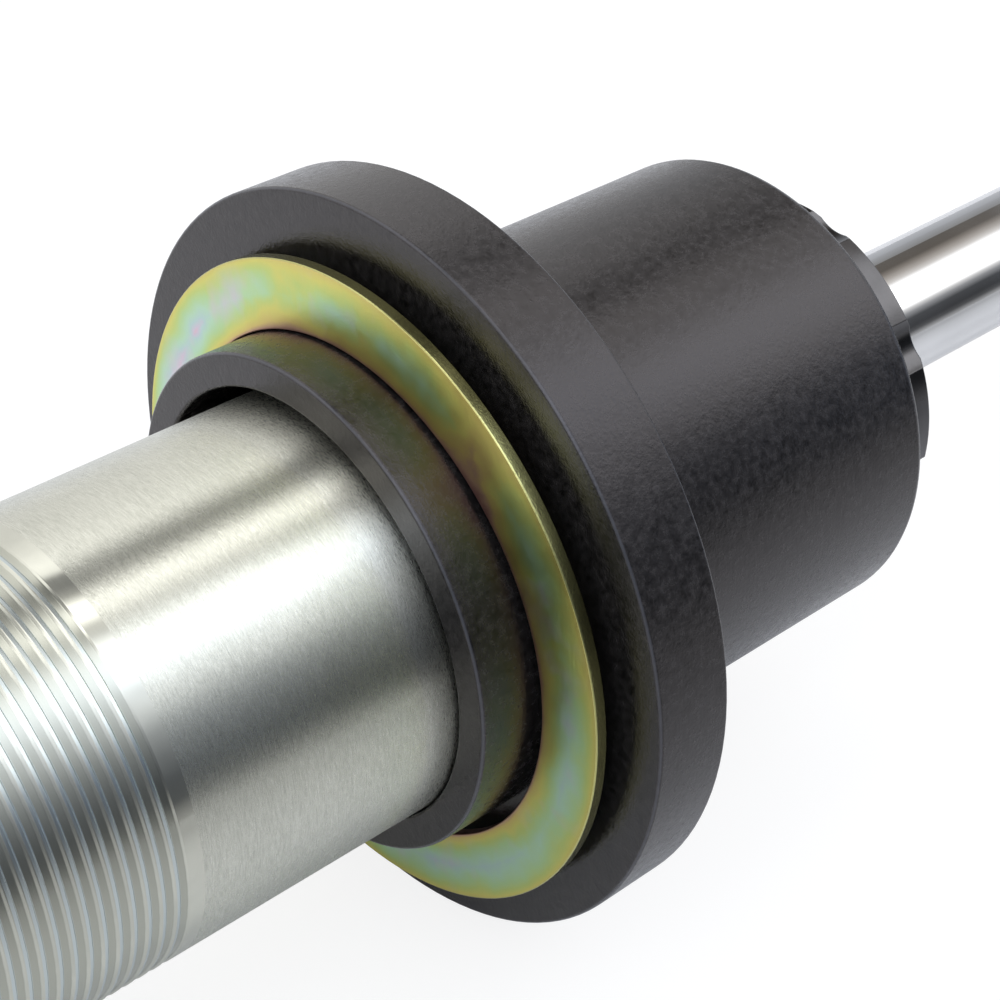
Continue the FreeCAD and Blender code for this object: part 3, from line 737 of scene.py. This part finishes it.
def thread_mesh(bm, earliest, end, crest_r):
    """Right-handed thread between two plain rings, as one closed skin."""
    turn_count = math.floor((end - earliest) / THREAD_PITCH)
    # The last edge of the thread runs from half a pitch before its end to half a pitch after
    start = end - (turn_count + 0.5) * THREAD_PITCH
    per_turn = len(THREAD_ROWS)
    last = turn_count * per_turn
    grid = thread_grid(bm, start, turn_count, crest_r)
    for left, right in zip(grid, grid[1:]):
        for row in range(last):
            bm.faces.new((left[row], left[row + 1], right[row + 1], right[row]))
    before = add_ring(bm, start - THREAD_PITCH, crest_r, TUBE_COLUMNS)
    after = add_ring(bm, end + POLISHED_BAND, crest_r, TUBE_COLUMNS)
    for column in range(TUBE_COLUMNS - 1):
        bm.faces.new((before[column], grid[column][0], grid[column + 1][0], before[column + 1]))
    bm.faces.new([before[-1], grid[-2][0]] + grid[0][per_turn::-1] + [before[0]])
    bm.faces.new(grid[0][last:] + [after[0], after[1], grid[1][last]])
    for column in range(1, TUBE_COLUMNS):
        follower = (column + 1) % TUBE_COLUMNS
        bm.faces.new((grid[column][last], after[column], after[follower], grid[column + 1][last]))
    return before, after


def body_tube(nose_x):
    """Damper tube with its thread, polished band and brushed end."""
    low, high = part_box("body_tube")
    outer_r = (high.z - low.z) / 2
    thread_end = nose_x - THREAD_TO_NOSE
    bm = bmesh.new()
    before, after = thread_mesh(bm, low.x + THREAD_LEAD_IN, thread_end, outer_r)
    corners = [
        (high.x, outer_r, TUBE_EDGE),
        (high.x, outer_r - TUBE_WALL),
        (low.x, outer_r - TUBE_WALL),
        (low.x, outer_r, TUBE_EDGE),
    ]
    rings = [add_ring(bm, x, radius, TUBE_COLUMNS) for x, radius in rounded(corners)]
    rings = [after] + rings + [before]
    for first, second in zip(rings, rings[1:]):
        bridge(bm, first, second)
    for face in bm.faces:
        face.material_index = int(face.calc_center_median().x < thread_end + POLISHED_BAND)
    piece = finished("threaded_body_tube", bm, TUBE_SHARP_ANGLE)
    dress(piece, "damper_body", "zinc_steel", ["body_tube"], zinc_brushed(), zinc_thread(thread_end, outer_r))


def spring_slider():
    """Flanged sleeve that parts the two springs."""
    low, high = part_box("spring_slider")
    flange_r = (high.z - low.z) / 2
    flange_start = low.x + FLANGE_AT
    flange_end = flange_start + FLANGE_WIDTH
    corners = [
        (low.x, SLIDER_BORE_R, SLIDER_EDGE),
        (low.x, SLEEVE_R, SLIDER_EDGE),
        (flange_start, SLEEVE_R),
        (flange_start, flange_r, SLIDER_EDGE),
        (flange_end, flange_r, SLIDER_EDGE),
        (flange_end, SLEEVE_R, FLANGE_ROOT),
        (high.x, SLEEVE_R, SLEEVE_END_ROUND),
        (high.x, SLIDER_BORE_R, SLIDER_EDGE),
    ]
    centre = node_centre("spring_slider")
    piece = turned("flanged_slider", corners, centre)
    rims = [(low.x, SLEEVE_R), (flange_start, flange_r)]
    dress(piece, "slider", "black_sleeve", ["spring_slider"], black_sleeve(rims, centre))


def spring_washer(name, node, body):
    """Stamped washer with its edges rolled over."""
    low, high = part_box(node)
    outer_r = (high.z - low.z) / 2
    inner_r = outer_r - WASHER_WALL
    corners = [
        (low.x, inner_r, WASHER_EDGE),
        (low.x, outer_r, WASHER_EDGE),
        (high.x, outer_r, WASHER_EDGE),
        (high.x, inner_r, WASHER_EDGE),
    ]
    centre = node_centre(node)
    piece = turned(name, corners, centre)
    dress(piece, body, "yellow_zinc", [node], yellow_zinc(inner_r, outer_r, centre))


def finish_solids():
    """Gives every solid the finish of its slot."""
    finishes = {slot: mottled(*finish) for slot, finish in MOTTLED_FINISHES.items()}
    finishes["zinc_steel"] = zinc_plain()
    finishes["chrome"] = chrome()
    for part in frame["record"]["subparts"]:
        for slot in frame["nodes"][part["node"]].material_slots:
            slot.material = finishes[part["material_slot"]]


bpy.context.scene.view_settings.view_transform = "Standard"
slider_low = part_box("spring_slider")[0]
studio_world()
studio_floor(slider_low.z - FLOOR_DROP)
studio_camera(Vector((slider_low.x, 0, 0)))
finish_solids()
body_tube(slider_low.x)
spring_slider()
spring_washer("stamped_slider_washer", "slider_washer", "loose_washer")
spring_washer("stamped_preload_washer", "preload_seat_washer", "preload_washer")
